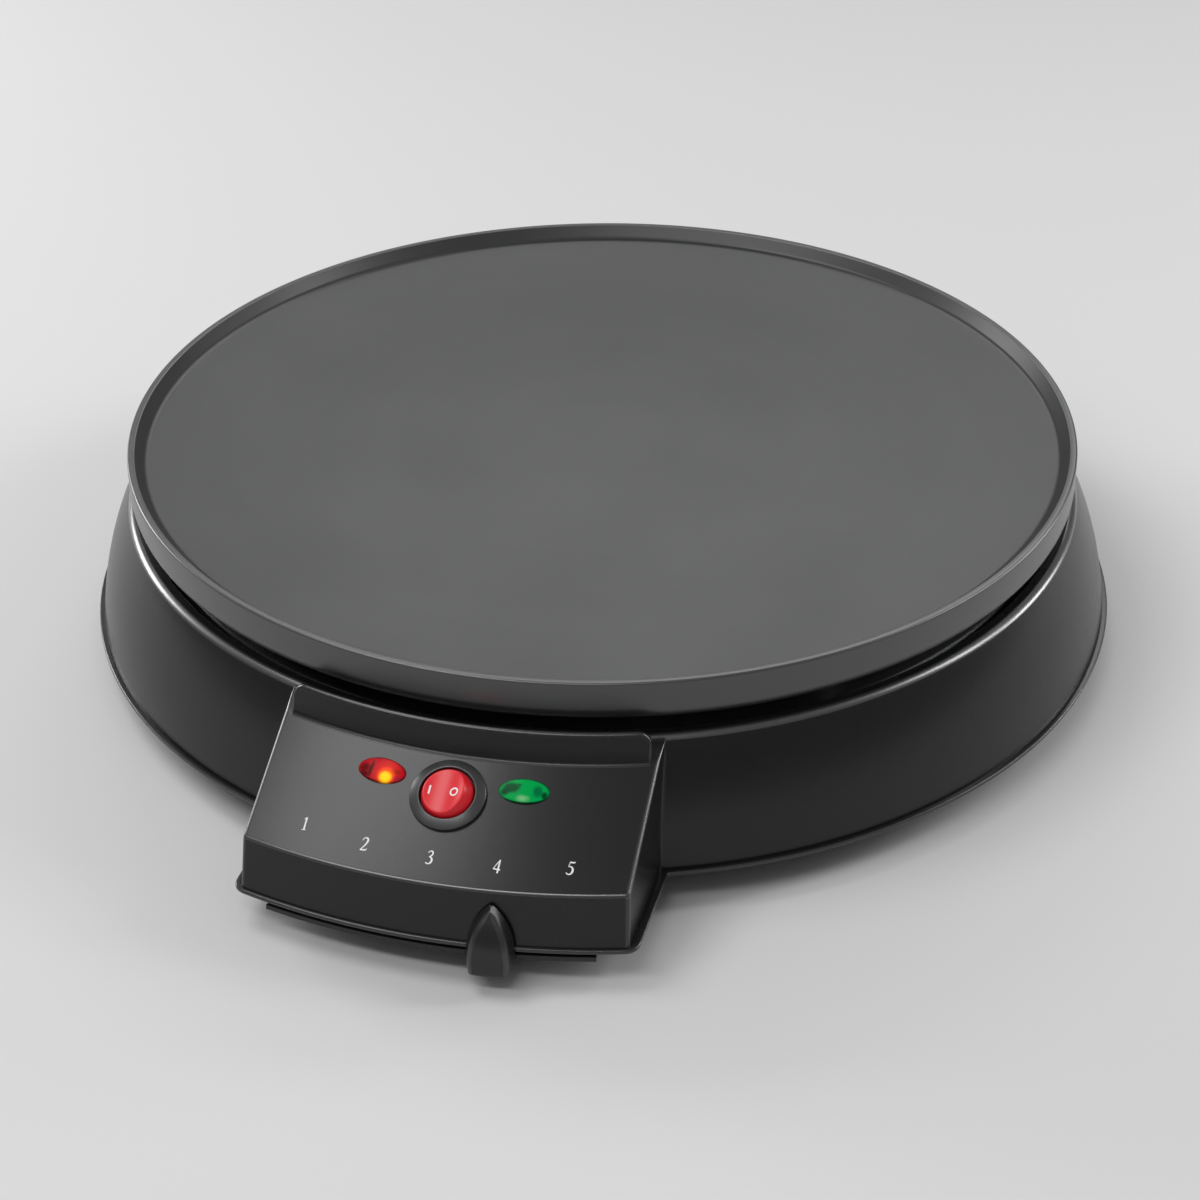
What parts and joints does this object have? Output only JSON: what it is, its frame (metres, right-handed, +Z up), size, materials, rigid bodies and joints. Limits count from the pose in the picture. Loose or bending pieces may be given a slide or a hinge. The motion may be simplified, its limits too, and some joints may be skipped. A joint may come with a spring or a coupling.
{
  "type": "electric crepe maker",
  "caption": "Tabletop crepe maker: round rimmed hotplate on a flared base, with a sloping front panel carrying a swinging temperature lever and a tilting mains rocker.",
  "frame": {"origin": "on the table surface, under the middle of the part's outline in X and Y", "axes": "+Z up along the hotplate's axis, -Y towards the user and the control panel, +X to the user's right"},
  "size_m": [0.3384, 0.3794, 0.0707],
  "materials": {
    "plate_coating": "dark satin non-stick coating on cast aluminium",
    "housing_plastic": "fine-grained black heat-proof plastic",
    "cover_sheet": "black plastic",
    "knob_plastic": "satin black plastic",
    "red_lens": "translucent red",
    "green_lens": "translucent green",
    "switch_black": "smooth black plastic",
    "rocker_red": "glossy translucent red",
    "lamp_glass": "clear neon bulb",
    "tube_steel": "annealed steel sheath",
    "zinc_steel": "zinc plated",
    "sheet_aluminium": "mill finish sheet",
    "ceramic": "steatite ceramic",
    "contact_brass": "plain",
    "phenolic": "brown phenolic",
    "white_nylon": "natural nylon",
    "foot_rubber": "black rubber",
    "silicone_wire": "grey silicone insulation"
  },
  "bodies": {
    "base": {"hotplate": "plate_coating", "heating_element": "tube_steel", "element_insulators": "ceramic", "element_pins": "zinc_steel", "element_clamps": "zinc_steel", "clamp_screws": "zinc_steel", "heat_reflector": "sheet_aluminium", "plate_standoffs": "zinc_steel", "plate_washers": "zinc_steel", "plate_screws": "zinc_steel", "thermostat_bracket": "zinc_steel", "underside_screws": "zinc_steel", "thermostat_body": "ceramic", "thermostat_tabs": "contact_brass", "thermal_fuse": "sheet_aluminium", "fuse_clip": "zinc_steel", "skirt_housing": "housing_plastic", "bottom_cover": "cover_sheet", "pivot_bush": "white_nylon", "rubber_feet": "foot_rubber", "cover_screws": "zinc_steel", "red_lamp_lens": "red_lens", "green_lamp_lens": "green_lens", "lamp_holders": "white_nylon", "neon_lamps": "lamp_glass", "switch_body": "switch_black", "switch_tabs": "contact_brass", "cord_gland": "knob_plastic", "gland_nut": "white_nylon", "terminal_block": "white_nylon", "terminal_screws": "zinc_steel", "block_screws": "zinc_steel", "internal_wires": "silicone_wire"},
    "lever": {"thermostat_spindle": "zinc_steel", "lever_hub": "phenolic", "hub_screw": "zinc_steel", "lever_arm": "zinc_steel", "lever_knob": "knob_plastic"},
    "rocker": {"switch_rocker": "rocker_red"}
  },
  "joints": [
    {"name": "lever_swing", "type": "hinge", "parent": "base", "child": "lever", "pos_m": [0, 0.01926, 0.0135], "axis": [0, 0, 1], "range_deg": [-17.6, 6.4]},
    {"name": "rocker_tilt", "type": "hinge", "parent": "base", "child": "rocker", "pos_m": [0, -0.15575, 0.04196], "axis": [0, 0.8832, 0.469], "range_deg": [0, 18]}
  ]
}
